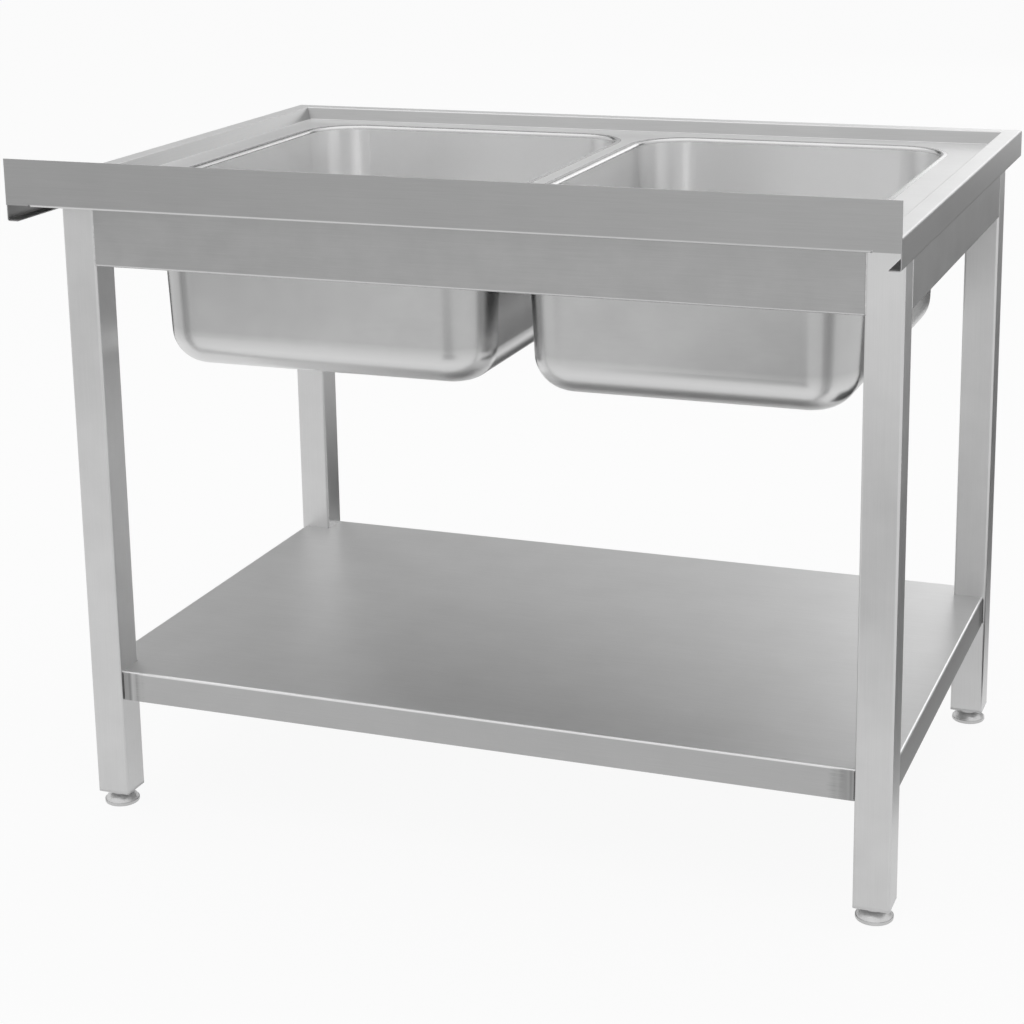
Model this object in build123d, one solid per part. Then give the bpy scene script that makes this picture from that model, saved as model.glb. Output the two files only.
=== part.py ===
from build123d import *
import math
import os

# A free-standing stainless steel sink unit: a folded worktop with two pressed bowls, on a welded
# frame of square tubes with a lower shelf. Sizes are millimetres. X runs along the length, -Y is
# the wall side with the upstand, +Y is the user's side and Z is up. Left is -X and right is +X.
# The origin is on the floor, under the middle of the unit.

# Overall sizes
length = 1100.0
depth = 820.0
rim_height = 850.0
upstand_rise = 40.0             # above the rim

# Worktop, one folded sheet
top_sheet = 1.2
top_bend = 1.5                  # inside radius of its folds
deck_drop = 17.0                # from the rim down to the deck
rim_width = 24.0
rim_slope_run = 8.0             # how far the rim's inner wall leans inwards
skirt_height = 37.0
return_width = 14.0             # of the fold under the skirt
relief_hole = 3.5               # where the folds of rim, deck and upstand meet

# Bowls, pressed from thinner sheet
bowl_sheet = 1.0
left_bowl_width = 468.0
right_bowl_width = 422.0
bridge_width = 38.0             # deck between the two bowls, at their inner walls
bowl_rear_margin = 175.0        # from the back of the upstand to the bowls
bowl_front_margin = 80.0        # from the front skirt to the bowls
bowl_depth = 239.0
bowl_draft = 2.5                # degrees
bowl_bottom_radius = 45.0
bowl_floor_corner = 12.0        # plan radius of the flat part of the floor
lip_radius = 5.0
lip_width = 10.0                # flat lip outside the inner wall's line
bowl_seam = 0.2                 # between the lip and the deck's opening

# Legs and aprons
leg_size = 45.0
leg_wall = 1.5
leg_corner = 3.0
leg_side_inset = 15.0           # from the side skirts
leg_rear_inset = 100.0          # from the back of the upstand
leg_front_inset = 34.0          # from the front skirt
apron_drop = 93.0               # below the deck
apron_sheet = 1.5
apron_flange = 25.0
apron_bend = 1.5

# Lower shelf
shelf_height = 195.0
shelf_sheet = 1.2
shelf_skirt = 40.0
shelf_return = 12.0
shelf_bend = 2.0
shelf_inset = 4.0               # behind the outer faces of the legs

# Stiffening channels
bridge_channel_width = 15.0
bridge_channel_depth = 22.0
shelf_channel_width = 40.0
shelf_channel_depth = 25.0
shelf_channel_brim = 18.0
channel_sheet = 1.2
channel_bend = 1.0
channel_end_gap = 4.0

# Worktop fixings
stud_diameter = 6.0
stud_length = 16.0
stud_hole = 7.0
stud_count = 4                  # on each long apron
stud_end_distance = 90.0        # from an apron's end to its first stud
nut_flats = 10.0
nut_height = 6.0
thread_clearance = 0.1

# Adjustable feet
foot_diameter = 46.0
foot_height = 19.0              # from the floor to the top of the pad's hub
foot_band = 5.0                 # straight side of the pad
foot_edge_radius = 2.5
foot_shoulder_height = 14.0
foot_hub_diameter = 26.0
foot_groove = 1.0
foot_dome = 1.4                 # bulge of the shoulder
stem_diameter = 10.0
stem_reach = 45.0               # above the pad
stem_socket = 12.0              # depth of the stem in its pad
plug_rim = 3.0
plug_depth = 25.0
plug_gap = 1.0                  # between the hub and the plug with the foot screwed right in
sliding_clearance = 0.3

# Bowl wastes
waste_thread = 47.8
waste_bore = 40.0
waste_flange_diameter = 70.0
waste_flange_height = 3.0
waste_seat_chamfer = 2.0
waste_tail = 52.0               # from under the flange to the tail's end
waste_hole = 50.0
waste_groove = 2.0              # thread relief under the back nut, its width
waste_groove_depth = 1.0
waste_grid_bar = 4.0
waste_grid_drop = 24.0          # from the top of the flange to the grid
gasket_diameter = 66.0
gasket_height = 1.5
seal_diameter = 64.0
seal_height = 3.0
waste_nut_flats = 62.0
waste_nut_height = 10.0
stopper_body = 12.0             # how deep the stopper goes into the bore
stopper_cap = 3.0
stopper_cap_overlap = 4.0
stopper_grip_diameter = 16.0
stopper_grip_height = 14.0
stopper_grip_fillet = 3.0

# Places worked out from the sizes above
left_face = -length / 2
right_face = length / 2
rear_face = -depth / 2
front_face = depth / 2
deck_height = rim_height - deck_drop
deck_underside = deck_height - top_sheet
rim_inset = rim_width + rim_slope_run
bowl_rear = rear_face + bowl_rear_margin
bowl_front = front_face - bowl_front_margin
bowl_centre_y = (bowl_rear + bowl_front) / 2
bowl_length = bowl_front - bowl_rear
bowl_group = left_bowl_width + bridge_width + right_bowl_width
left_bowl_x = -bowl_group / 2 + left_bowl_width / 2
right_bowl_x = bowl_group / 2 - right_bowl_width / 2
bridge_x = -bowl_group / 2 + left_bowl_width + bridge_width / 2
bowl_floor = deck_height - bowl_depth
leg_outer_x = length / 2 - leg_side_inset
leg_x = leg_outer_x - leg_size / 2
leg_rear_y = rear_face + leg_rear_inset
leg_front_y = front_face - leg_front_inset
foot_top = foot_height + plug_gap
leg_bottom = foot_top + plug_rim
apron_bottom = deck_height - apron_drop

sides = {"left": -1, "right": 1}
ends = {"rear": (leg_rear_y, 1), "front": (leg_front_y, -1)}
bowls = {"left": (left_bowl_x, left_bowl_width), "right": (right_bowl_x, right_bowl_width)}


# Sections and plain solids
def folded_section(points, sheet, bends):
    """Section of a folded sheet: its skin runs through the points, the sheet lies to the right of it.

    bends gives the inside radius of each fold."""
    skin = [Vector(*point) for point in points]
    rights = []
    for first, second in zip(skin, skin[1:]):
        along = (second - first).normalized()
        rights.append(Vector(along.Y, -along.X))
    back = [skin[0] + rights[0] * sheet]
    skin_radii = []
    back_radii = []
    for corner, before, after, bend in zip(skin[1:-1], rights, rights[1:], bends):
        back.append(corner + (before + after) * (sheet / (1 + before.dot(after))))
        turns_right = before.cross(after).Z < 0
        skin_radii.append(bend + sheet if turns_right else bend)
        back_radii.append(bend if turns_right else bend + sheet)
    back.append(skin[-1] + rights[-1] * sheet)
    outline = FilletPolyline(*skin, radius=skin_radii)
    outline += Line(skin[-1], back[-1])
    outline += FilletPolyline(*back, radius=back_radii)
    outline += Line(back[0], skin[0])
    return make_face(outline)


def block(x_span, y_span, z_span):
    size = [high - low for low, high in (x_span, y_span, z_span)]
    centre = [(high + low) / 2 for low, high in (x_span, y_span, z_span)]
    return Pos(*centre) * Box(*size)


def rod(x, y, z_low, z_high, diameter):
    standing = (Align.CENTER, Align.CENTER, Align.MIN)
    return Pos(x, y, z_low) * Cylinder(diameter / 2, z_high - z_low, align=standing)


def rounded_block(x, y, x_size, y_size, corner, z_low, z_high):
    return Pos(x, y, z_low) * extrude(RectangleRounded(x_size, y_size, corner), z_high - z_low)


def hexagon_nut(x, y, z_low, z_high, flats, bore):
    outline = RegularPolygon(flats / 2, 6, major_radius=False)
    return Pos(x, y, z_low) * extrude(outline, z_high - z_low) - rod(x, y, z_low, z_high, bore)


# Bowl section, shared by the bowl and the opening that takes it
draft_run = bowl_depth * math.tan(math.radians(bowl_draft))
bottom_run = bowl_bottom_radius * math.tan(math.radians((90 - bowl_draft) / 2))
floor_edge = draft_run + bottom_run + bowl_sheet    # from the opening's line to the flat floor
bowl_corner = bowl_floor_corner + floor_edge
lip_corner = bowl_corner + lip_width


# Worktop: rims, skirts and returns swept round three sides, with the deck and the upstand
def worktop():
    inner_rear = rear_face + top_sheet
    deck_lap = top_bend + 2 * top_sheet
    rim_points = [
        (return_width, -skirt_height),
        (0, -skirt_height),
        (0, 0),
        (rim_width, 0),
        (rim_inset, -deck_drop),
        (rim_inset + deck_lap, -deck_drop),
    ]
    section = folded_section(rim_points, top_sheet, [top_bend] * 4)
    path = Polyline(
        (left_face, inner_rear, rim_height),
        (left_face, front_face, rim_height),
        (right_face, front_face, rim_height),
        (right_face, inner_rear, rim_height),
    )
    start = Plane(origin=(left_face, inner_rear, rim_height), x_dir=(1, 0, 0), z_dir=(0, -1, 0))
    rims = sweep(start * section, path=path, transition=Transition.RIGHT)

    deck_x = length / 2 - rim_inset
    deck_front = front_face - rim_inset - deck_lap
    fold_end = inner_rear + deck_lap
    top_edge = rim_height + upstand_rise
    upstand_points = [
        (fold_end, deck_underside),
        (rear_face, deck_underside),
        (rear_face, top_edge),
    ]
    upstand_fold = folded_section(upstand_points, top_sheet, [top_bend])
    upstand_start = Plane(origin=(-deck_x, 0, 0), x_dir=(0, 1, 0), z_dir=(1, 0, 0))
    upstand = extrude(upstand_start * upstand_fold, 2 * deck_x)
    deck_reach = deck_x - deck_lap
    deck = block((-deck_reach, deck_reach), (fold_end, deck_front), (deck_underside, deck_height))
    part = rims + upstand + deck
    for side in sides.values():
        end_span = sorted((side * deck_x, side * length / 2))
        part += block(end_span, (rear_face, inner_rear), (deck_height, top_edge))
        strip_span = sorted((side * deck_x, side * deck_reach))
        part += block(strip_span, (inner_rear, fold_end), (deck_underside, deck_height))
    for side in sides.values():
        relief = Rot(90, 0, 0) * Cylinder(relief_hole / 2, 2 * (top_sheet + deck_lap))
        part -= Pos(side * deck_x, rear_face, deck_height) * relief
    for x, width in bowls.values():
        spread = 2 * (lip_width + bowl_seam)
        opening = rounded_block(
            x, bowl_centre_y, width + spread, bowl_length + spread, lip_corner + bowl_seam,
            deck_underside - top_sheet, deck_height + top_sheet,
        )
        part -= opening
    return part


# Bowl: lip, wall and bottom radius swept round the opening, closed by a flat floor with the waste hole
def bowl(x, width):
    section_points = [
        (lip_width, 0),
        (0, 0),
        (-draft_run, -bowl_depth),
        (-floor_edge, -bowl_depth),
    ]
    # The section is drawn from the floor outwards, so that the sheet lies outside and below the skin
    skin = list(reversed(section_points))
    section = folded_section(skin, bowl_sheet, [bowl_bottom_radius, lip_radius - bowl_sheet])
    opening = RectangleRounded(width, bowl_length, bowl_corner)
    path = Pos(x, bowl_centre_y, deck_height) * opening.wire()
    begin = path @ 0
    tangent = path % 0
    outwards = tangent.cross(Vector(0, 0, 1))
    if outwards.dot(begin - Vector(x, bowl_centre_y, deck_height)) < 0:
        outwards = outwards * -1
    start = Plane(origin=begin, x_dir=outwards, z_dir=outwards.cross(Vector(0, 0, 1)))
    walls = sweep(start * section, path=path)
    floor = rounded_block(
        x, bowl_centre_y, width - 2 * floor_edge, bowl_length - 2 * floor_edge, bowl_corner - floor_edge,
        bowl_floor - bowl_sheet, bowl_floor,
    )
    part = walls + floor
    return part - rod(x, bowl_centre_y, bowl_floor - 2 * bowl_sheet, bowl_floor + bowl_sheet, waste_hole)


# Legs
def leg(x, y):
    outer = rounded_block(x, y, leg_size, leg_size, leg_corner, leg_bottom, deck_underside)
    bore_size = leg_size - 2 * leg_wall
    bore_corner = leg_corner - leg_wall
    return outer - rounded_block(x, y, bore_size, bore_size, bore_corner, leg_bottom, deck_underside)


# Aprons: folded channels with their flanges turned inwards
def apron_section():
    points = [
        (apron_flange, deck_underside),
        (0, deck_underside),
        (0, apron_bottom),
        (apron_flange, apron_bottom),
    ]
    skin = list(reversed(points))
    return folded_section(skin, apron_sheet, [apron_bend] * 2)


def stud_places():
    span = 2 * (leg_outer_x - leg_size - stud_end_distance)
    step = span / (stud_count - 1)
    places = []
    for face_y, inward in ends.values():
        for index in range(stud_count):
            places.append((-span / 2 + index * step, face_y + inward * apron_flange / 2))
    return places


def long_apron(face_y, inward):
    reach = leg_outer_x - leg_size
    start = Plane(origin=(-inward * reach, face_y, 0), x_dir=(0, inward, 0), z_dir=(inward, 0, 0))
    part = extrude(start * apron_section(), 2 * reach)
    for x, y in stud_places():
        part -= rod(x, y, deck_underside - 2 * apron_sheet, deck_underside + apron_sheet, stud_hole)
    return part


def short_apron(side):
    rear_end = leg_rear_y + leg_size
    front_end = leg_front_y - leg_size
    begin_y = rear_end if side > 0 else front_end
    start = Plane(origin=(side * leg_outer_x, begin_y, 0), x_dir=(-side, 0, 0), z_dir=(0, side, 0))
    return extrude(start * apron_section(), front_end - rear_end)


# Lower shelf: a tray with its skirts turned down and under, notched round the legs
def undershelf():
    x_reach = leg_outer_x - shelf_inset
    rear = leg_rear_y + shelf_inset
    front = leg_front_y - shelf_inset
    low = shelf_height - shelf_skirt
    tray = block((-x_reach, x_reach), (rear, front), (low, shelf_height))
    outer_edges = tray.edges().group_by(Axis.Z)[-1]
    tray = fillet(outer_edges, shelf_bend + shelf_sheet)
    hollow = block(
        (-x_reach + shelf_sheet, x_reach - shelf_sheet), (rear + shelf_sheet, front - shelf_sheet),
        (low + shelf_sheet, shelf_height - shelf_sheet),
    )
    hollow = fillet(hollow.edges().group_by(Axis.Z)[-1], shelf_bend)
    inset = shelf_return + shelf_sheet
    mouth = block(
        (-x_reach + inset, x_reach - inset), (rear + inset, front - inset), (low, low + 2 * shelf_sheet),
    )
    tray = tray - hollow - mouth
    for side in sides.values():
        notch_x = sorted((side * (leg_outer_x - leg_size), side * leg_outer_x))
        for face_y, inward in ends.values():
            notch_y = sorted((face_y, face_y + inward * leg_size))
            tray -= block(notch_x, notch_y, (low, shelf_height))
    return tray


# Stiffeners
def bridge_stiffener():
    half = bridge_channel_width / 2
    low = deck_underside - bridge_channel_depth
    points = [(-half, low), (-half, deck_underside), (half, deck_underside), (half, low)]
    section = folded_section(points, channel_sheet, [channel_bend] * 2)
    rear = leg_rear_y + apron_flange + channel_end_gap
    front = leg_front_y - apron_flange - channel_end_gap
    start = Plane(origin=(bridge_x, front, 0), x_dir=(1, 0, 0), z_dir=(0, -1, 0))
    return extrude(start * section, front - rear)


def shelf_stiffener():
    top = shelf_height - shelf_sheet
    half = shelf_channel_width / 2
    low = top - shelf_channel_depth
    points = [
        (-half - shelf_channel_brim, top),
        (-half, top),
        (-half, low),
        (half, low),
        (half, top),
        (half + shelf_channel_brim, top),
    ]
    section = folded_section(points, channel_sheet, [channel_bend] * 4)
    reach = leg_outer_x - shelf_inset - shelf_sheet - shelf_return - channel_end_gap
    middle = (leg_rear_y + leg_front_y) / 2
    start = Plane(origin=(-reach, middle, 0), x_dir=(0, 1, 0), z_dir=(1, 0, 0))
    return extrude(start * section, 2 * reach)


# Worktop fixings: studs welded under the deck, with a nut under the apron's flange
def worktop_studs():
    low = deck_underside - stud_length
    return [rod(x, y, low, deck_underside, stud_diameter) for x, y in stud_places()]


def stud_nuts():
    top = deck_underside - apron_sheet
    bore = stud_diameter + 2 * thread_clearance
    return [hexagon_nut(x, y, top - nut_height, top, nut_flats, bore) for x, y in stud_places()]


# Feet
def leg_plug(x, y):
    inside = leg_size - 2 * leg_wall - 2 * sliding_clearance
    inside_corner = leg_corner - leg_wall
    part = rounded_block(x, y, leg_size, leg_size, leg_corner, foot_top, leg_bottom)
    part += rounded_block(x, y, inside, inside, inside_corner, leg_bottom, leg_bottom + plug_depth)
    return part - rod(x, y, foot_top, leg_bottom + plug_depth, stem_diameter + 2 * sliding_clearance)


def foot_pad(x, y):
    edge = foot_diameter / 2
    hub = foot_hub_diameter / 2
    outline = FilletPolyline(
        (0, 0), (edge, 0), (edge, foot_band), radius=[foot_edge_radius],
    )
    outline += Line((edge, foot_band), (edge - foot_groove, foot_band))
    outline += SagittaArc((edge - foot_groove, foot_band), (hub, foot_shoulder_height), -foot_dome)
    outline += Polyline((hub, foot_shoulder_height), (hub, foot_height), (0, foot_height), (0, 0))
    pad = revolve(Plane.XZ * make_face(outline), Axis.Z)
    socket = rod(0, 0, foot_height - stem_socket, foot_height, stem_diameter + 2 * thread_clearance)
    return Pos(x, y, 0) * (pad - socket)


def foot_stem(x, y):
    return rod(x, y, foot_height - stem_socket, foot_height + stem_reach, stem_diameter)


# Waste of a bowl
gasket_top = bowl_floor + gasket_height
flange_top = gasket_top + waste_flange_height
tail_end = gasket_top - waste_tail
seal_top = bowl_floor - bowl_sheet
waste_nut_top = seal_top - seal_height
waste_nut_low = waste_nut_top - waste_nut_height


def waste_body(x, y):
    part = rod(x, y, gasket_top, flange_top, waste_flange_diameter)
    rim = part.edges().group_by(Axis.Z)[-1]
    part = fillet(rim, waste_flange_height / 2)
    part += rod(x, y, tail_end, gasket_top, waste_thread)
    groove_floor = waste_thread - 2 * waste_groove_depth
    part -= ring(x, y, waste_nut_low - waste_groove, waste_nut_low, waste_flange_diameter, groove_floor)
    part -= rod(x, y, tail_end, flange_top, waste_bore)
    seat = Cone(waste_bore / 2, waste_bore / 2 + waste_seat_chamfer, waste_seat_chamfer)
    part -= Pos(x, y, flange_top - waste_seat_chamfer / 2) * seat
    grid_top = flange_top - waste_grid_drop
    half_bar = waste_grid_bar / 2
    reach = (waste_bore + waste_thread) / 4
    for along_x, along_y in ((reach, half_bar), (half_bar, reach)):
        part += block(
            (x - along_x, x + along_x), (y - along_y, y + along_y), (grid_top - waste_grid_bar, grid_top),
        )
    return part


def ring(x, y, z_low, z_high, outer, inner):
    return rod(x, y, z_low, z_high, outer) - rod(x, y, z_low, z_high, inner)


def waste_stopper(x, y):
    cap_low = flange_top + sliding_clearance
    cap_top = cap_low + stopper_cap
    grip_top = cap_top + stopper_grip_height
    part = rod(x, y, flange_top - stopper_body, cap_low, waste_bore - 2 * sliding_clearance)
    part += rod(x, y, cap_low, cap_top, waste_bore + 2 * (waste_seat_chamfer + stopper_cap_overlap))
    part += rod(x, y, cap_top, grip_top, stopper_grip_diameter)
    grip_edge = part.edges().group_by(Axis.Z)[-1]
    return fillet(grip_edge, stopper_grip_fillet)


# All nodes by name, each a list of solids
nodes = {
    "worktop": [worktop()],
    "rear_apron": [long_apron(*ends["rear"])],
    "front_apron": [long_apron(*ends["front"])],
    "undershelf": [undershelf()],
    "bridge_stiffener": [bridge_stiffener()],
    "shelf_stiffener": [shelf_stiffener()],
    "worktop_studs": worktop_studs(),
    "stud_nuts": stud_nuts(),
}
for side_name, side in sides.items():
    nodes[side_name + "_apron"] = [short_apron(side)]
    for end_name, (face_y, inward) in ends.items():
        corner_name = end_name + "_" + side_name
        place = (side * leg_x, face_y + inward * leg_size / 2)
        nodes[corner_name + "_leg"] = [leg(*place)]
        nodes[corner_name + "_leg_plug"] = [leg_plug(*place)]
        nodes[corner_name + "_foot_pad"] = [foot_pad(*place)]
        nodes[corner_name + "_foot_stem"] = [foot_stem(*place)]
for bowl_name, (x, width) in bowls.items():
    waste_name = bowl_name + "_waste_"
    centre = (x, bowl_centre_y)
    tail_clear = waste_thread + 2 * sliding_clearance
    nodes[bowl_name + "_bowl"] = [bowl(x, width)]
    nodes[waste_name + "body"] = [waste_body(*centre)]
    nodes[waste_name + "gasket"] = [ring(*centre, bowl_floor, gasket_top, gasket_diameter, tail_clear)]
    nodes[waste_name + "seal"] = [ring(*centre, waste_nut_top, seal_top, seal_diameter, tail_clear)]
    nodes[waste_name + "nut"] = [
        hexagon_nut(*centre, waste_nut_low, waste_nut_top, waste_nut_flats,
                    waste_thread + 2 * thread_clearance)
    ]
    nodes[waste_name + "stopper"] = [waste_stopper(*centre)]

os.makedirs("parts", exist_ok=True)
for name, solids in nodes.items():
    shape = solids[0] if len(solids) == 1 else Compound(children=solids)
    export_step(shape, f"parts/{name}.step")
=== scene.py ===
import math
import bmesh
import bpy
from mathutils import Matrix, Vector


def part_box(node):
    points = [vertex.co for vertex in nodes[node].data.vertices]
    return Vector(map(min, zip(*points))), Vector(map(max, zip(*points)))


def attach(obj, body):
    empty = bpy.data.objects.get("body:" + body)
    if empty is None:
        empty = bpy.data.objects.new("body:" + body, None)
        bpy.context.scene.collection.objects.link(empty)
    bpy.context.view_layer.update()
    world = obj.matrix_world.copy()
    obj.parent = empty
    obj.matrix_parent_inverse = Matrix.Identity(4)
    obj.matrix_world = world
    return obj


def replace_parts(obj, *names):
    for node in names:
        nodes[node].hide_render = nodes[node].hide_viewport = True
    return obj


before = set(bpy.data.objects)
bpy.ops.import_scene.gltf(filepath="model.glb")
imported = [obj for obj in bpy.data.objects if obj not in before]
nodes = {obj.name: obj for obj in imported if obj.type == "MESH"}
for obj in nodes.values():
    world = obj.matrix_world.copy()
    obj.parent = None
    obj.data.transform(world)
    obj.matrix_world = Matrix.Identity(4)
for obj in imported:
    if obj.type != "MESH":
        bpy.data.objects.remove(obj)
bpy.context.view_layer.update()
scene = bpy.context.scene
mm = 0.001
print("frame loaded:", len(nodes), "nodes")


# Small helpers
def srgb(hexText):
    values = [int(hexText[place:place + 2], 16) / 255 for place in (1, 3, 5)]
    linear = [v / 12.92 if v <= 0.04045 else ((v + 0.055) / 1.055) ** 2.4 for v in values]
    return (*linear, 1.0)


def addNode(tree, kind, settings=None, links=None):
    node = tree.nodes.new(kind)
    for name, value in (settings or {}).items():
        if isinstance(name, int) or name in node.inputs:
            node.inputs[name].default_value = value
        else:
            setattr(node, name, value)
    for name, source in (links or {}).items():
        tree.links.new(source, node.inputs[name])
    return node


def newMaterial(name):
    material = bpy.data.materials.new(name)
    material.use_nodes = True
    material.node_tree.nodes.clear()
    return material, material.node_tree


def endingIn(*endings):
    return [name for name in nodes if name.endswith(endings)]


def dress(material, *names):
    for name in names:
        mesh = nodes[name].data
        mesh.materials.clear()
        mesh.materials.append(material)


# Scale of a noise that is stretched along one axis
def stretched(widthMm, lengthMm, axis):
    across = 1 / (widthMm * mm)
    along = 1 / (lengthMm * mm)
    return [along if axis == other else across for other in "XYZ"]


# How far a point lies past the sides of a box on each axis, less than nothing inside it
def pastBox(tree, place, low, high):
    centre = [(a + b) / 2 for a, b in zip(low, high)]
    half = [(b - a) / 2 for a, b in zip(low, high)]
    offset = addNode(tree, "ShaderNodeVectorMath", {"operation": "SUBTRACT", 1: centre},
                     {0: place.outputs["Object"]})
    spread = addNode(tree, "ShaderNodeVectorMath", {"operation": "ABSOLUTE"},
                     {0: offset.outputs["Vector"]})
    past = addNode(tree, "ShaderNodeVectorMath", {"operation": "SUBTRACT", 1: half},
                   {0: spread.outputs["Vector"]})
    return addNode(tree, "ShaderNodeSeparateXYZ", links={0: past.outputs["Vector"]}).outputs


# Which way a face looks, as the part of its direction that lies along an axis
faceTurn = {"end": 0.7, "upright": 0.5, "topFrom": 0.6, "topFull": 0.9,
            "floorFrom": 0.6, "floorFull": 0.95}


# One on the end faces, which are square to X, and zero elsewhere
def endFaces(tree, place):
    direction = addNode(tree, "ShaderNodeSeparateXYZ", links={0: place.outputs["Normal"]})
    turned = addNode(tree, "ShaderNodeMath", {"operation": "ABSOLUTE"}, {0: direction.outputs["X"]})
    isEnd = addNode(tree, "ShaderNodeMath", {"operation": "GREATER_THAN", 1: faceTurn["end"]},
                    {0: turned.outputs[0]})
    return isEnd.outputs[0]


# Pressed bowl: painted light, the side that looks towards a point above its middle is painted brighter
# below the lip, standing in for light from above that fills the bowl
def paintInsideLight(tree, place, finish, tint, rough):
    low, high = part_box(finish["insideOf"])
    above = ((low.x + high.x) / 2, (low.y + high.y) / 2, high.z + finish["aboveMm"] * mm)
    outwards = addNode(tree, "ShaderNodeVectorMath", {"operation": "SUBTRACT", 1: above},
                       {0: place.outputs["Object"]})
    facing = addNode(tree, "ShaderNodeVectorMath", {"operation": "DOT_PRODUCT"},
                     {0: outwards.outputs["Vector"], 1: place.outputs["Normal"]})
    isInside = addNode(tree, "ShaderNodeMath", {"operation": "LESS_THAN", 1: 0.0},
                       {0: facing.outputs["Value"]})
    height = addNode(tree, "ShaderNodeSeparateXYZ", links={0: place.outputs["Object"]})
    belowLip = addNode(tree, "ShaderNodeMath",
                       {"operation": "LESS_THAN", 1: high.z - finish["lipMm"] * mm},
                       {0: height.outputs["Z"]})
    insideBelowLip = addNode(tree, "ShaderNodeMath", {"operation": "MULTIPLY"},
                       {0: isInside.outputs[0], 1: belowLip.outputs[0]})
    # painted highlight: the lower radius is painted brighter, which shows on the outside
    drawn = addNode(tree, "ShaderNodeMapRange",
                    {1: low.z + finish["lowHighlightFromMm"] * mm, 2: low.z + finish["lowHighlightFullMm"] * mm},
                    {0: height.outputs["Z"]})
    lowPaintedHighlight = addNode(tree, "ShaderNodeMix", {"data_type": "RGBA", 7: srgb(finish["lowHighlightTint"])},
                      {0: drawn.outputs[0], 6: tint})
    # painted light on the inner walls below the lip
    paintedLight = addNode(tree, "ShaderNodeMix", {"data_type": "RGBA", 7: srgb(finish["inside"])},
                     {0: insideBelowLip.outputs[0], 6: lowPaintedHighlight.outputs[2]})
    # painted shade: the flat floor inside is painted darker against the light from above
    direction = addNode(tree, "ShaderNodeSeparateXYZ", links={0: place.outputs["Normal"]})
    flat = addNode(tree, "ShaderNodeMapRange", {1: faceTurn["floorFrom"], 2: faceTurn["floorFull"]},
                   {0: direction.outputs["Z"]})
    insideFloor = addNode(tree, "ShaderNodeMath", {"operation": "MULTIPLY"},
                   {0: flat.outputs[0], 1: insideBelowLip.outputs[0]})
    floorPaintedShade = addNode(tree, "ShaderNodeMix", {"data_type": "RGBA", 7: srgb(finish["floor"])},
                      {0: insideFloor.outputs[0], 6: paintedLight.outputs[2]})
    smooth = addNode(tree, "ShaderNodeMix", {"data_type": "FLOAT", 3: finish["insideRough"]},
                     {0: insideBelowLip.outputs[0], 2: rough})
    return floorPaintedShade.outputs[2], smooth.outputs[0]


# Bends: a painted highlight, a brighter tint inside a box round each edge
bendHighlight = {"tint": "#dadada", "fadeMm": 0.6}


def paintBendHighlights(tree, place, boxes, tint):
    for low, high in boxes:
        past = pastBox(tree, place, low, high)
        level = addNode(tree, "ShaderNodeMath", {"operation": "MAXIMUM"}, {0: past["X"], 1: past["Y"]})
        farthest = addNode(tree, "ShaderNodeMath", {"operation": "MAXIMUM"},
                           {0: level.outputs[0], 1: past["Z"]})
        onBend = addNode(tree, "ShaderNodeMapRange", {1: 0.0, 2: -bendHighlight["fadeMm"] * mm},
                         {0: farthest.outputs[0]})
        paintedLight = addNode(tree, "ShaderNodeMix", {"data_type": "RGBA", 7: srgb(bendHighlight["tint"])},
                         {0: onBend.outputs[0], 6: tint})
        tint = paintedLight.outputs[2]
    return tint


# Ground bands: the grinder that dressed the welds left upright bands with frayed ends on upright faces
groundBand = {"dark": "#909090", "light": "#c4c4c4", "stops": (0.36, 0.66),
              "widthMm": 9, "lengthMm": 700, "frayMm": 30, "fromMm": 6, "fullMm": 24}


def grindByWelds(tree, place, finish, grain, tint):
    past = pastBox(tree, place, *finish["groundPast"])
    reach = addNode(tree, "ShaderNodeMix", {"data_type": "FLOAT"},
                    {0: endFaces(tree, place), 2: past["X"], 3: past["Y"]})
    fray = addNode(tree, "ShaderNodeMath", {"operation": "MULTIPLY_ADD", 1: groundBand["frayMm"] * mm},
                   {0: grain.outputs["Fac"], 2: reach.outputs[0]})
    patch = addNode(tree, "ShaderNodeMapRange",
                    {1: groundBand["fromMm"] * mm, 2: groundBand["fullMm"] * mm}, {0: fray.outputs[0]})
    direction = addNode(tree, "ShaderNodeSeparateXYZ", links={0: place.outputs["Normal"]})
    slope = addNode(tree, "ShaderNodeMath", {"operation": "ABSOLUTE"}, {0: direction.outputs["Z"]})
    upright = addNode(tree, "ShaderNodeMath", {"operation": "LESS_THAN", 1: faceTurn["upright"]},
                      {0: slope.outputs[0]})
    onUpright = addNode(tree, "ShaderNodeMath", {"operation": "MULTIPLY"},
                        {0: patch.outputs[0], 1: upright.outputs[0]})
    bandScale = stretched(groundBand["widthMm"], groundBand["lengthMm"], "Z")
    bandPlace = addNode(tree, "ShaderNodeVectorMath", {"operation": "MULTIPLY", 1: bandScale},
                        {0: place.outputs["Object"]})
    band = addNode(tree, "ShaderNodeTexNoise", {"Scale": 1.0, "Detail": 1.0},
                   {"Vector": bandPlace.outputs["Vector"]})
    bandTint = addNode(tree, "ShaderNodeValToRGB", links={"Fac": band.outputs["Fac"]})
    tones = (groundBand["dark"], groundBand["light"])
    for stop, position, tone in zip(bandTint.color_ramp.elements, groundBand["stops"], tones):
        stop.position = position
        stop.color = srgb(tone)
    ground = addNode(tree, "ShaderNodeMix", {"data_type": "RGBA"},
                     {0: onUpright.outputs[0], 6: tint, 7: bandTint.outputs[0]})
    return ground.outputs[2]
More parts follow.
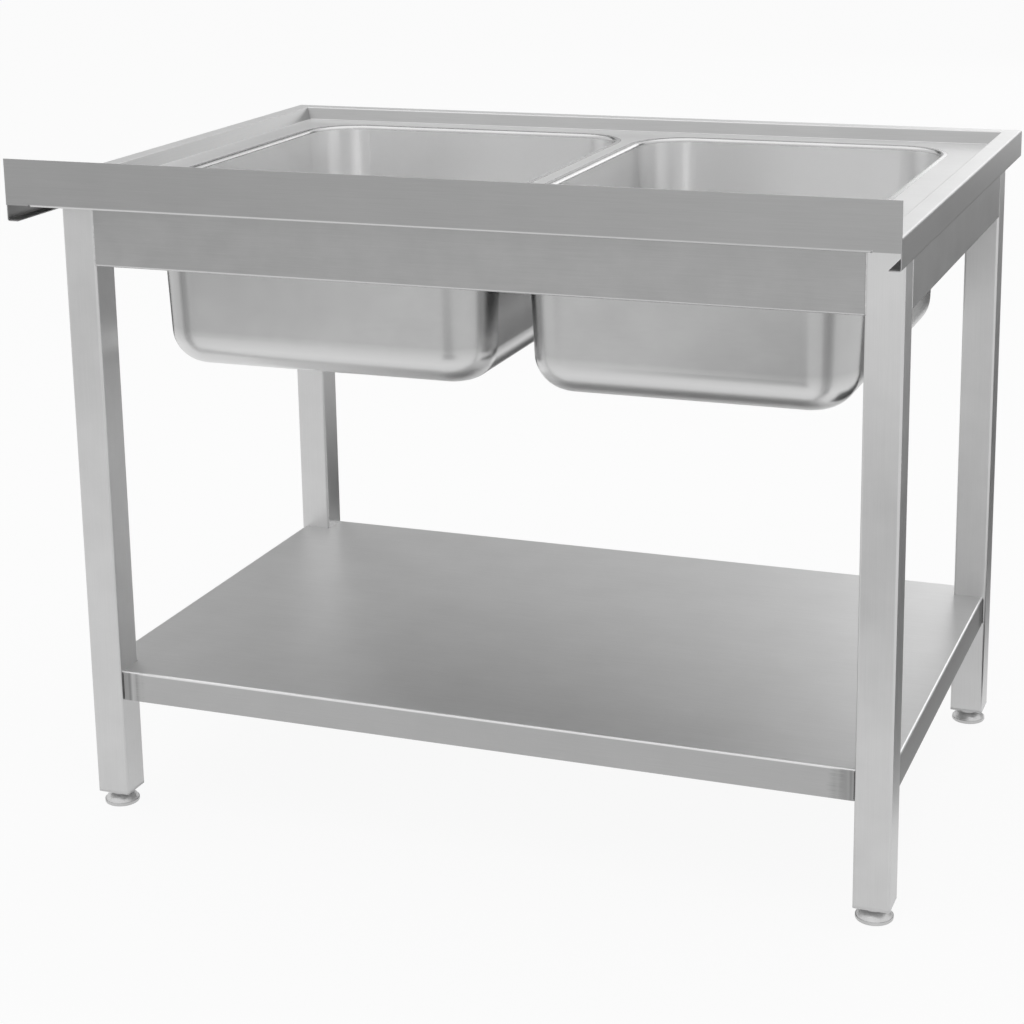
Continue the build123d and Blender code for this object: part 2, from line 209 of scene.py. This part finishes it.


# Flat top: upward faces are painted brighter, painted light from above, and made rougher, while the
# folds keep their mill tone
def paintTopLight(tree, place, finish, tint, rough):
    direction = addNode(tree, "ShaderNodeSeparateXYZ", links={0: place.outputs["Normal"]})
    isTop = addNode(tree, "ShaderNodeMapRange", {1: faceTurn["topFrom"], 2: faceTurn["topFull"]},
                    {0: direction.outputs["Z"]})
    rise = addNode(tree, "ShaderNodeMapRange", {3: 1.0, 4: finish["topPaintedLight"]}, {0: isTop.outputs[0]})
    lifted = addNode(tree, "ShaderNodeVectorMath", {"operation": "SCALE"},
                     {0: tint, "Scale": rise.outputs[0]})
    matted = addNode(tree, "ShaderNodeMix", {"data_type": "FLOAT", 3: finish["topRough"]},
                     {0: isTop.outputs[0], 2: rough})
    return lifted.outputs["Vector"], matted.outputs[0]


# Brushed stainless steel: rolled sheet or tube ground with a belt, so fine straight scratches
# stretch every reflection across the grain, over slow clouds where the belt pressed harder.
# Real belt lines are about 0.1 mm wide, too fine to show, so they are drawn about ten times as wide.
toneStops = (0.3, 0.7)                # where a noise reaches its darker and its lighter tone
textureDepth = 0.05 * mm


def brushedSteel(finish):
    material, tree = newMaterial(finish["name"])
    place = addNode(tree, "ShaderNodeTexCoord")
    size = (finish["grainWidthMm"], finish["grainLengthMm"])
    belt = addNode(tree, "ShaderNodeVectorMath",
                   {"operation": "MULTIPLY", 1: stretched(*size, finish["grainAlong"])},
                   {0: place.outputs["Object"]})
    grainPlace = belt.outputs["Vector"]
    if "endGrainAlong" in finish:     # the end faces are ground the other way
        endBelt = addNode(tree, "ShaderNodeVectorMath",
                          {"operation": "MULTIPLY", 1: stretched(*size, finish["endGrainAlong"])},
                          {0: place.outputs["Object"]})
        chosen = addNode(tree, "ShaderNodeMix", {"data_type": "VECTOR"},
                         {0: endFaces(tree, place), 4: grainPlace, 5: endBelt.outputs["Vector"]})
        grainPlace = chosen.outputs[1]
    grain = addNode(tree, "ShaderNodeTexNoise", {"Scale": 1.0, "Detail": 2.0, "Roughness": 0.6},
                    {"Vector": grainPlace})
    cloud = addNode(tree, "ShaderNodeTexNoise",
                    {"Scale": 1 / (finish["cloudMm"] * mm), "Detail": 3.0, "Roughness": 0.55},
                    {"Vector": place.outputs["Object"]})
    blend = addNode(tree, "ShaderNodeMix", {"data_type": "FLOAT", 0: finish["cloudShare"]},
                    {2: grain.outputs["Fac"], 3: cloud.outputs["Fac"]})
    colour = addNode(tree, "ShaderNodeValToRGB", links={"Fac": blend.outputs[0]})
    tones = (finish["dark"], finish["light"])
    for stop, position, tone in zip(colour.color_ramp.elements, toneStops, tones):
        stop.position = position
        stop.color = srgb(tone)
    gloss = addNode(tree, "ShaderNodeMapRange", {3: finish["roughLow"], 4: finish["roughHigh"]},
                    {0: blend.outputs[0]})
    tint = colour.outputs[0]
    rough = gloss.outputs[0]
    if "insideOf" in finish:
        tint, rough = paintInsideLight(tree, place, finish, tint, rough)
    if "paintedBendHighlights" in finish:
        tint = paintBendHighlights(tree, place, finish["paintedBendHighlights"], tint)
    if "groundPast" in finish:
        tint = grindByWelds(tree, place, finish, grain, tint)
    if "topPaintedLight" in finish:
        tint, rough = paintTopLight(tree, place, finish, tint, rough)
    scratch = addNode(tree, "ShaderNodeBump", {"Strength": finish["scratch"], "Distance": textureDepth},
                      {"Height": grain.outputs["Fac"]})
    steel = addNode(tree, "ShaderNodeBsdfPrincipled", {"Metallic": 1.0},
                    {"Base Color": tint, "Roughness": rough, "Normal": scratch.outputs[0]})
    addNode(tree, "ShaderNodeOutputMaterial", links={"Surface": steel.outputs[0]})
    return material


bend = 3 * mm                         # outside radius of the folds
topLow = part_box("worktop")[0]
apronLow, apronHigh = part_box("rear_apron")

# Worktop: belt-ground sheet, with soft streaks along it, painted light on the deck and a painted
# highlight along the rear fold
skirtFold = {"under": apronHigh.z, "pastApron": 28 * mm}
worktopSteel = brushedSteel({
    "name": "brushed_stainless_worktop", "dark": "#a4a4a4", "light": "#acacac",
    "topPaintedLight": 1.75, "topRough": 0.48,
    "grainAlong": "X", "endGrainAlong": "Y", "grainWidthMm": 0.9, "grainLengthMm": 60,
    "cloudMm": 90, "cloudShare": 0.4, "roughLow": 0.30, "roughHigh": 0.38, "scratch": 0.07,
    "paintedBendHighlights": [
        ((apronLow.x - skirtFold["pastApron"], topLow.y - bend, skirtFold["under"] - bend),
         (apronHigh.x + skirtFold["pastApron"], topLow.y + bend, skirtFold["under"] + bend)),
    ],
})
dress(worktopSteel, "worktop")

# Aprons: folded from belt-ground sheet, a little cloudier, with a painted highlight along the lower fold
apronSteel = brushedSteel({
    "name": "brushed_stainless_apron", "dark": "#a8a8a8", "light": "#b4b4b4",
    "grainAlong": "X", "endGrainAlong": "Y", "grainWidthMm": 0.9, "grainLengthMm": 50,
    "cloudMm": 45, "cloudShare": 0.55, "roughLow": 0.32, "roughHigh": 0.42, "scratch": 0.07,
    "paintedBendHighlights": [
        ((apronLow.x - bend, apronLow.y - bend, apronLow.z - bend),
         (apronHigh.x + bend, apronLow.y + bend, apronLow.z + bend)),
    ],
})
dress(apronSteel, "rear_apron", "front_apron", "left_apron", "right_apron")

# Undershelf: belt-ground sheet, with painted highlights on the folds, painted light on the top and
# streaky ground bands beside the legs
shelfLow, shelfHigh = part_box("undershelf")
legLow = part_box("front_right_leg")[0]
groundReach = 22 * mm                 # how far the bands reach from a leg
groundX = legLow.x - groundReach
groundY = legLow.y - groundReach
foldLow = shelfHigh.z - bend
foldHigh = shelfHigh.z + bend
shelfFolds = []
for x in (shelfLow.x, shelfHigh.x):
    shelfFolds.append(((x - bend, shelfLow.y, foldLow), (x + bend, shelfHigh.y, foldHigh)))
for y in (shelfLow.y, shelfHigh.y):
    shelfFolds.append(((shelfLow.x, y - bend, foldLow), (shelfHigh.x, y + bend, foldHigh)))
shelfSteel = brushedSteel({
    "name": "brushed_stainless_shelf", "dark": "#b4b4b4", "light": "#bcbcbc",
    "topPaintedLight": 1.3, "topRough": 0.42,
    "grainAlong": "X", "endGrainAlong": "Y", "grainWidthMm": 0.9, "grainLengthMm": 70,
    "cloudMm": 70, "cloudShare": 0.4, "roughLow": 0.36, "roughHigh": 0.44, "scratch": 0.06,
    "groundPast": ((-groundX, shelfLow.y + shelfHigh.y - groundY, 0), (groundX, groundY, 0)),
    "paintedBendHighlights": shelfFolds,
})
dress(shelfSteel, "undershelf")

# Legs: drawn tube polished along its length, so reflections run up and down it as soft bands
legSteel = brushedSteel({
    "name": "brushed_stainless_tube", "dark": "#d0d0d0", "light": "#d9d9d9",
    "grainAlong": "Z", "grainWidthMm": 1.1, "grainLengthMm": 90,
    "cloudMm": 60, "cloudShare": 0.6, "roughLow": 0.28, "roughHigh": 0.36, "scratch": 0.05,
})
dress(legSteel, *endingIn("_leg"))

# Bowls: pressed satin sheet, smooth and cloudy, with painted light on the inner walls, a painted
# highlight on the lower radius and painted shade on the floor
for bowlName in ("left_bowl", "right_bowl"):
    bowlSteel = brushedSteel({
        "name": "pressed_satin_stainless_" + bowlName, "dark": "#bcbcbc", "light": "#c6c6c6",
        # the inside tint is painted light, the floor tint painted shade and the low band tint a painted
        # highlight
        "insideOf": bowlName, "inside": "#f2f2f2", "insideRough": 0.28, "floor": "#d0d0d0",
        "lowHighlightTint": "#e2e2e2", "lowHighlightFromMm": 52, "lowHighlightFullMm": 30, "lipMm": 5, "aboveMm": 50,
        "grainAlong": "X", "grainWidthMm": 1.5, "grainLengthMm": 20,
        "cloudMm": 80, "cloudShare": 0.8, "roughLow": 0.22, "roughHigh": 0.28, "scratch": 0.03,
    })
    dress(bowlSteel, bowlName)

# Stiffeners: sheet as it left the mill, an even dull grey with a wide soft sheen
millSteel = brushedSteel({
    "name": "mill_finish_stainless_channel", "dark": "#9a9a9a", "light": "#a6a6a6",
    "grainAlong": "X", "grainWidthMm": 2.0, "grainLengthMm": 20,
    "cloudMm": 40, "cloudShare": 0.7, "roughLow": 0.36, "roughHigh": 0.48, "scratch": 0.04,
})
dress(millSteel, "bridge_stiffener", "shelf_stiffener")

# Studs, nuts and stems: zinc plating, faintly blue, with small bright glints
fixingSteel = brushedSteel({
    "name": "zinc_plated_fixing_steel", "dark": "#b5b8ba", "light": "#c9cbcc",
    "grainAlong": "Z", "grainWidthMm": 1.0, "grainLengthMm": 1.5,
    "cloudMm": 8, "cloudShare": 0.5, "roughLow": 0.22, "roughHigh": 0.34, "scratch": 0.03,
})
dress(fixingSteel, "worktop_studs", "stud_nuts", *endingIn("_stem"))

# Wastes: polished stainless, which mirrors the bowl almost sharply
wasteSteel = brushedSteel({
    "name": "polished_stainless_waste", "dark": "#d0d0d0", "light": "#dadada",
    "grainAlong": "Z", "grainWidthMm": 1.0, "grainLengthMm": 3,
    "cloudMm": 15, "cloudShare": 0.6, "roughLow": 0.08, "roughHigh": 0.14, "scratch": 0.01,
})
dress(wasteSteel, "left_waste_body", "right_waste_body")

# Foot pads: turned and satin finished, pale with a wide soft sheen
footSteel = brushedSteel({
    "name": "turned_satin_stainless_foot", "dark": "#c8c8c8", "light": "#d6d6d6",
    "grainAlong": "Z", "grainWidthMm": 1.2, "grainLengthMm": 2,
    "cloudMm": 20, "cloudShare": 0.6, "roughLow": 0.40, "roughHigh": 0.48, "scratch": 0.02,
})
dress(footSteel, *endingIn("_foot_pad"))


# Moulded parts: an even skin with a faint moulding texture and slow shifts of shade.
# Mould texture is about 0.1 mm, too fine to show, so it is drawn about ten times as coarse.
def mouldedPart(finish):
    material, tree = newMaterial(finish["name"])
    place = addNode(tree, "ShaderNodeTexCoord")
    skin = addNode(tree, "ShaderNodeTexNoise", {"Scale": 1 / (finish["skinMm"] * mm), "Detail": 2.0},
                   {"Vector": place.outputs["Object"]})
    shade = addNode(tree, "ShaderNodeTexNoise", {"Scale": 1 / (finish["shadeMm"] * mm), "Detail": 2.0},
                    {"Vector": place.outputs["Object"]})
    colour = addNode(tree, "ShaderNodeValToRGB", links={"Fac": shade.outputs["Fac"]})
    tones = (finish["dark"], finish["light"])
    for stop, position, tone in zip(colour.color_ramp.elements, toneStops, tones):
        stop.position = position
        stop.color = srgb(tone)
    gloss = addNode(tree, "ShaderNodeMapRange", {3: finish["roughLow"], 4: finish["roughHigh"]},
                    {0: skin.outputs["Fac"]})
    bump = addNode(tree, "ShaderNodeBump", {"Strength": finish["texture"], "Distance": textureDepth},
                   {"Height": skin.outputs["Fac"]})
    plastic = addNode(tree, "ShaderNodeBsdfPrincipled", {"IOR": finish["ior"]},
                      {"Base Color": colour.outputs[0], "Roughness": gloss.outputs[0],
                       "Normal": bump.outputs[0]})
    addNode(tree, "ShaderNodeOutputMaterial", links={"Surface": plastic.outputs[0]})
    return material


# Leg plugs: moulded nylon, off-white with a soft gloss
plugPlastic = mouldedPart({
    "name": "moulded_nylon_plug", "dark": "#dedede", "light": "#e8e8e8",
    "skinMm": 1.2, "shadeMm": 12, "roughLow": 0.18, "roughHigh": 0.28, "texture": 0.05, "ior": 1.53,
})
dress(plugPlastic, *endingIn("_leg_plug"))

# Waste nuts: moulded polypropylene, off-white and a little waxy
nutPlastic = mouldedPart({
    "name": "moulded_polypropylene_nut", "dark": "#dcdcdc", "light": "#e6e6e6",
    "skinMm": 1.0, "shadeMm": 15, "roughLow": 0.35, "roughHigh": 0.45, "texture": 0.08, "ior": 1.49,
})
dress(nutPlastic, "left_waste_nut", "right_waste_nut")

# Gaskets, seals and stoppers: moulded rubber, near black and matt
sealRubber = mouldedPart({
    "name": "moulded_rubber", "dark": "#1d1d1d", "light": "#292929",
    "skinMm": 0.8, "shadeMm": 12, "roughLow": 0.5, "roughHigh": 0.65, "texture": 0.15, "ior": 1.52,
})
dress(sealRubber, *endingIn("_gasket", "_seal", "_stopper"))
print("materials dressed")


# Trim: small pieces that ride on a body of the frame
def addPiece(name, mesh, material, body):
    for face in mesh.faces:
        face.smooth = True
    bmesh.ops.recalc_face_normals(mesh, faces=mesh.faces[:])
    data = bpy.data.meshes.new(name)
    mesh.to_mesh(data)
    mesh.free()
    data.materials.append(material)
    piece = bpy.data.objects.new(name, data)
    scene.collection.objects.link(piece)
    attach(piece, body)
    return piece


def circle(x, y, z, radius, sides):
    turns = [math.tau * k / sides for k in range(sides)]
    return [(x + radius * math.cos(turn), y + radius * math.sin(turn), z) for turn in turns]


# A closed skin over rings of points, one ring after the other
def skinRings(mesh, rings):
    loops = [[mesh.verts.new(point) for point in ring] for ring in rings]
    for first, second in zip(loops, loops[1:]):
        for k in range(len(first)):
            mesh.faces.new((first[k], first[k - 1], second[k - 1], second[k]))
    mesh.faces.new(loops[0])
    mesh.faces.new(reversed(loops[-1]))


# Welds: a torch leaves a row of overlapping puddles, and the bead tapers at both ends
weldBead = {"puddleMm": 2.4, "ripple": 0.10, "stepMm": 0.6, "sides": 10,
            "endShare": 0.35, "endGrowth": 0.25}


def addBead(mesh, x, y, low, high, radius):
    steps = round((high - low) / (weldBead["stepMm"] * mm))
    rings = []
    for step in range(steps + 1):
        z = low + (high - low) * step / steps
        swell = 1 + weldBead["ripple"] * math.sin(math.tau * z / (weldBead["puddleMm"] * mm))
        taper = min(1.0, weldBead["endShare"] + weldBead["endGrowth"] * min(step, steps - step))
        rings.append(circle(x, y, z, radius * swell * taper, weldBead["sides"]))
    skinRings(mesh, rings)


# Apron welds: ground and bright, with a small glint on each ripple
weldSteel = brushedSteel({
    "name": "ground_stainless_weld", "dark": "#b8b8b8", "light": "#dedede",
    "grainAlong": "X", "grainWidthMm": 0.6, "grainLengthMm": 4,
    "cloudMm": 6, "cloudShare": 0.5, "roughLow": 0.22, "roughHigh": 0.36, "scratch": 0.05,
})
# Shelf welds: left as the torch made them, and painted dark for the shade in the gap between tube and
# shelf
shelfWeldShade = brushedSteel({
    "name": "dark_stainless_weld_painted_shade", "dark": "#4c4c4c", "light": "#787878",
    "grainAlong": "X", "grainWidthMm": 0.6, "grainLengthMm": 4,
    "cloudMm": 6, "cloudShare": 0.5, "roughLow": 0.34, "roughHigh": 0.46, "scratch": 0.05,
})
# in the groove beside the tube's rounded corner
apronWeld = {"radius": 1.3 * mm, "into": 1.0 * mm,
             "low": apronLow.z + 1 * mm, "high": apronHigh.z - 1 * mm}
# in the corner between tube and shelf
shelfWeld = {"radius": 1.2 * mm, "out": 0.3 * mm,
             "low": shelfLow.z + 1 * mm, "high": shelfHigh.z - 2 * mm}
apronBeads = bmesh.new()
shelfBeads = bmesh.new()
for name in endingIn("_leg"):
    low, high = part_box(name)
    sideX = math.copysign(1, low.x)
    sideY = math.copysign(1, low.y)
    outerX, innerX = (low.x, high.x) if sideX < 0 else (high.x, low.x)
    outerY, innerY = (low.y, high.y) if sideY < 0 else (high.y, low.y)
    into = apronWeld["into"]
    grooves = ((innerX + sideX * into, outerY - sideY * into),
               (outerX - sideX * into, innerY + sideY * into))
    for x, y in grooves:
        addBead(apronBeads, x, y, apronWeld["low"], apronWeld["high"], apronWeld["radius"])
    out = shelfWeld["out"]
    skinX = shelfLow.x if sideX < 0 else shelfHigh.x
    skinY = shelfLow.y if sideY < 0 else shelfHigh.y
    inCorners = ((innerX - sideX * out, skinY + sideY * out),
                 (skinX + sideX * out, innerY - sideY * out))
    for x, y in inCorners:
        addBead(shelfBeads, x, y, shelfWeld["low"], shelfWeld["high"], shelfWeld["radius"])
addPiece("apron_welds", apronBeads, weldSteel, "unit")
addPiece("shelf_welds", shelfBeads, shelfWeldShade, "unit")


# Threads: a screw's ridge wound round its core, with its foot sunk in the core and its ends faded out
ridgeForm = {"perTurn": 24, "sink": 0.2 * mm, "footShare": 0.42, "crestShare": 0.06, "thinnest": 0.05}
coreSides = 32


def addRidge(mesh, x, y, low, high, core, crest, pitch):
    perTurn = ridgeForm["perTurn"]
    steps = int((high - low - pitch) / pitch * perTurn)
    foot = core - ridgeForm["sink"]
    footLift = ridgeForm["footShare"] * pitch
    crestLift = ridgeForm["crestShare"] * pitch
    rings = []
    for step in range(steps + 1):
        turn = math.tau * step / perTurn
        z = low + pitch / 2 + pitch * step / perTurn
        fade = min(1.0, step / perTurn, (steps - step) / perTurn)
        tip = core + (crest - core) * max(ridgeForm["thinnest"], fade)
        section = ((foot, -footLift), (tip, -crestLift), (tip, crestLift), (foot, footLift))
        rings.append([(x + r * math.cos(turn), y + r * math.sin(turn), z + lift) for r, lift in section])
    skinRings(mesh, rings)


def addCore(mesh, x, y, low, high, radius, chamfer):
    tip = radius - chamfer
    profile = ((low, tip), (low + chamfer, radius), (high - chamfer, radius), (high, tip))
    skinRings(mesh, [circle(x, y, z, r, coreSides) for z, r in profile])


stemThread = {"pitch": 1.5 * mm, "depth": 0.8 * mm, "chamfer": 0.8 * mm}         # M10 coarse
for corner in ("rear_left", "rear_right", "front_left", "front_right"):
    low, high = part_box(corner + "_foot_stem")
    x, y = (low.x + high.x) / 2, (low.y + high.y) / 2
    crest = (high.x - low.x) / 2
    core = crest - stemThread["depth"]
    stem = bmesh.new()
    addCore(stem, x, y, low.z, high.z, core, stemThread["chamfer"])
    addRidge(stem, x, y, low.z, high.z, core, crest, stemThread["pitch"])
    piece = addPiece(corner + "_threaded_stem", stem, fixingSteel, corner + "_foot")
    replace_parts(piece, corner + "_foot_stem")

studThread = {"pitch": 1.0 * mm, "depth": 0.55 * mm, "chamfer": 0.5 * mm, "crest": 3.0 * mm}     # M6
studsPerApron = 4
low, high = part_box("worktop_studs")
studs = bmesh.new()
crest = studThread["crest"]
core = crest - studThread["depth"]
for y in (low.y + crest, high.y - crest):
    for k in range(studsPerApron):
        x = low.x + crest + (high.x - low.x - 2 * crest) * k / (studsPerApron - 1)
        addCore(studs, x, y, low.z, high.z, core, studThread["chamfer"])
        addRidge(studs, x, y, low.z, high.z, core, crest, studThread["pitch"])
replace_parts(addPiece("threaded_studs", studs, fixingSteel, "unit"), "worktop_studs")

# G 1 1/2, from the end of the tail to just below the back nut
tailThread = {"pitch": 2.309 * mm, "depth": 0.7 * mm, "core": 23.9 * mm,
              "endGap": 1 * mm, "nutGap": 2.5 * mm}
for side in ("left", "right"):
    low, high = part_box(side + "_waste_body")
    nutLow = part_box(side + "_waste_nut")[0]
    x, y = (low.x + high.x) / 2, (low.y + high.y) / 2
    core = tailThread["core"]
    ridge = bmesh.new()
    addRidge(ridge, x, y, low.z + tailThread["endGap"], nutLow.z - tailThread["nutGap"],
             core, core + tailThread["depth"], tailThread["pitch"])
    addPiece(side + "_tail_thread", ridge, wasteSteel, "unit")
print("welds and threads added")


# Floor: matt white paint, which keeps a soft shadow and is lifted towards white where it is seen
floorView = {"reach": 40.0, "paint": "#f2f2f2", "seenLift": 0.92, "mirroredLift": 0.6}
floorReach = floorView["reach"]
floorMesh = bpy.data.meshes.new("studio_floor")
floorMesh.from_pydata([(-floorReach, -floorReach, 0), (floorReach, -floorReach, 0),
                       (floorReach, floorReach, 0), (-floorReach, floorReach, 0)], [], [(0, 1, 2, 3)])
floor = bpy.data.objects.new("studio_floor", floorMesh)
scene.collection.objects.link(floor)
floorPaint, tree = newMaterial("matt_white_floor")
ray = addNode(tree, "ShaderNodeLightPath")
seen = addNode(tree, "ShaderNodeMath", {"operation": "MAXIMUM"},
               {0: ray.outputs["Is Camera Ray"], 1: ray.outputs["Is Transmission Ray"]})
seenLift = addNode(tree, "ShaderNodeMath", {"operation": "MULTIPLY", 1: floorView["seenLift"]},
                   {0: seen.outputs[0]})
lift = addNode(tree, "ShaderNodeMath", {"operation": "MULTIPLY_ADD", 1: floorView["mirroredLift"]},
               {0: ray.outputs["Is Glossy Ray"], 2: seenLift.outputs[0]})
paint = addNode(tree, "ShaderNodeBsdfDiffuse", {"Color": srgb(floorView["paint"])})
white = addNode(tree, "ShaderNodeEmission", {"Strength": 1.0})
floorMix = addNode(tree, "ShaderNodeMixShader",
                   links={0: lift.outputs[0], 1: paint.outputs[0], 2: white.outputs[0]})
addNode(tree, "ShaderNodeOutputMaterial", links={"Surface": floorMix.outputs[0]})
floorMesh.materials.append(floorPaint)

# World: white where it is seen or mirrored, and a weaker fill for the matt surfaces
worldLevel = {"fill": 0.6, "seen": 1.0}
world = bpy.data.worlds.new("white_studio")
scene.world = world
world.use_nodes = True
tree = world.node_tree
tree.nodes.clear()
ray = addNode(tree, "ShaderNodeLightPath")
direct = addNode(tree, "ShaderNodeMath", {"operation": "MAXIMUM"},
                 {0: ray.outputs["Is Camera Ray"], 1: ray.outputs["Is Glossy Ray"]})
seen = addNode(tree, "ShaderNodeMath", {"operation": "MAXIMUM"},
               {0: direct.outputs[0], 1: ray.outputs["Is Transmission Ray"]})
level = addNode(tree, "ShaderNodeMapRange", {3: worldLevel["fill"], 4: worldLevel["seen"]},
                {0: seen.outputs[0]})
sky = addNode(tree, "ShaderNodeBackground", {"Color": srgb("#ffffff")}, {"Strength": level.outputs[0]})
addNode(tree, "ShaderNodeOutputWorld", links={"Surface": sky.outputs[0]})


# Lamps: soft studio light, with places and sizes in metres and power in watts
def softbox(name, place, target, size, power):
    lamp = bpy.data.lights.new(name, "AREA")
    lamp.shape = "RECTANGLE"
    lamp.size, lamp.size_y = size
    lamp.energy = power
    holder = bpy.data.objects.new(name, lamp)
    holder.location = place
    holder.rotation_euler = (Vector(target) - Vector(place)).to_track_quat("-Z", "Y").to_euler()
    scene.collection.objects.link(holder)


softbox("overhead_softbox", (0, 0, 3.6), (0, 0, 0.5), (5.0, 4.6), 36)
softbox("rear_strip", (1.4, 8.0, 2.4), (0, 0, 0.8), (5.0, 2.4), 43)
softbox("front_softbox", (0.2, -4.5, 0.4), (0.2, 0, 0.5), (2.0, 1.0), 2)


# Cards: matt felt that only reflections show, for the darker bands that a studio leaves in bare metal
def darkCard(name, shade, corners):
    mesh = bpy.data.meshes.new(name)
    mesh.from_pydata(corners, [], [(0, 1, 2, 3)])
    card = bpy.data.objects.new(name, mesh)
    scene.collection.objects.link(card)
    card.visible_camera = False
    card.visible_diffuse = False
    card.visible_shadow = False
    card.visible_transmission = False
    felt, tree = newMaterial("matt_felt_of_" + name)
    matt = addNode(tree, "ShaderNodeBsdfDiffuse", {"Color": srgb(shade)})
    addNode(tree, "ShaderNodeOutputMaterial", links={"Surface": matt.outputs[0]})
    mesh.materials.append(felt)


feltHeight = 0.002
floorFelts = {
    "right_floor_felt": ("#4a4a4a", [(0.64, 0.0), (1.0, 0.0), (2.2, 5.5), (0.64, 5.5)]),
    "rear_floor_felt": ("#484848", [(-0.4, 0.85), (0.15, 0.85), (0.15, 2.3), (-0.4, 2.3)]),
    "front_floor_felt": ("#cccccc", [(-0.2, -2.4), (0.5, -2.4), (0.5, -1.2), (-0.2, -1.2)]),
    "front_left_floor_felt": ("#808080", [(-2.6, -3.3), (-1.6, -3.3), (-1.6, -2.4), (-2.6, -2.4)]),
    "left_floor_felt": ("#303030", [(-3.2, 1.2), (-0.95, 1.2), (-0.95, 5.0), (-3.2, 5.0)]),
}
for name, (shade, outline) in floorFelts.items():
    darkCard(name, shade, [(x, y, feltHeight) for x, y in outline])
darkCard("right_card", "#202020",
         [(3.6, 7.5, 0.3), (6.4, 5.4, 0.3), (6.4, 5.4, 4.2), (3.6, 7.5, 4.2)])
darkCard("left_card", "#2c2c2c",
         [(-9.0, 8.3, 2.9), (-3.2, 8.3, 2.9), (-3.2, 8.3, 6.5), (-9.0, 8.3, 6.5)])
darkCard("middle_card", "#a0a0a0",
         [(-3.2, 8.3, 2.9), (-1.2, 8.3, 2.9), (-1.2, 8.3, 6.5), (-3.2, 8.3, 6.5)])
print("stage and light set")

# Camera, at the photograph's place
cameraView = {"place": (1.0157, -2.7704, 1.3106), "yaw": 0.3671, "pitch": -0.2415, "roll": 0.0166,
              "sensor": 36.0, "lens": 80.62, "shiftY": -0.15}
lens = bpy.data.cameras.new("camera")
lens.sensor_width = cameraView["sensor"]
lens.lens = cameraView["lens"]
lens.shift_y = cameraView["shiftY"]
camera = bpy.data.objects.new("camera", lens)
scene.collection.objects.link(camera)
turn = Matrix.Rotation(cameraView["yaw"], 4, "Z")
tilt = Matrix.Rotation(math.pi / 2 + cameraView["pitch"], 4, "X")
lean = Matrix.Rotation(-cameraView["roll"], 4, "Z")
camera.matrix_world = Matrix.Translation(cameraView["place"]) @ turn @ tilt @ lean
scene.camera = camera
scene.view_settings.view_transform = "Standard"
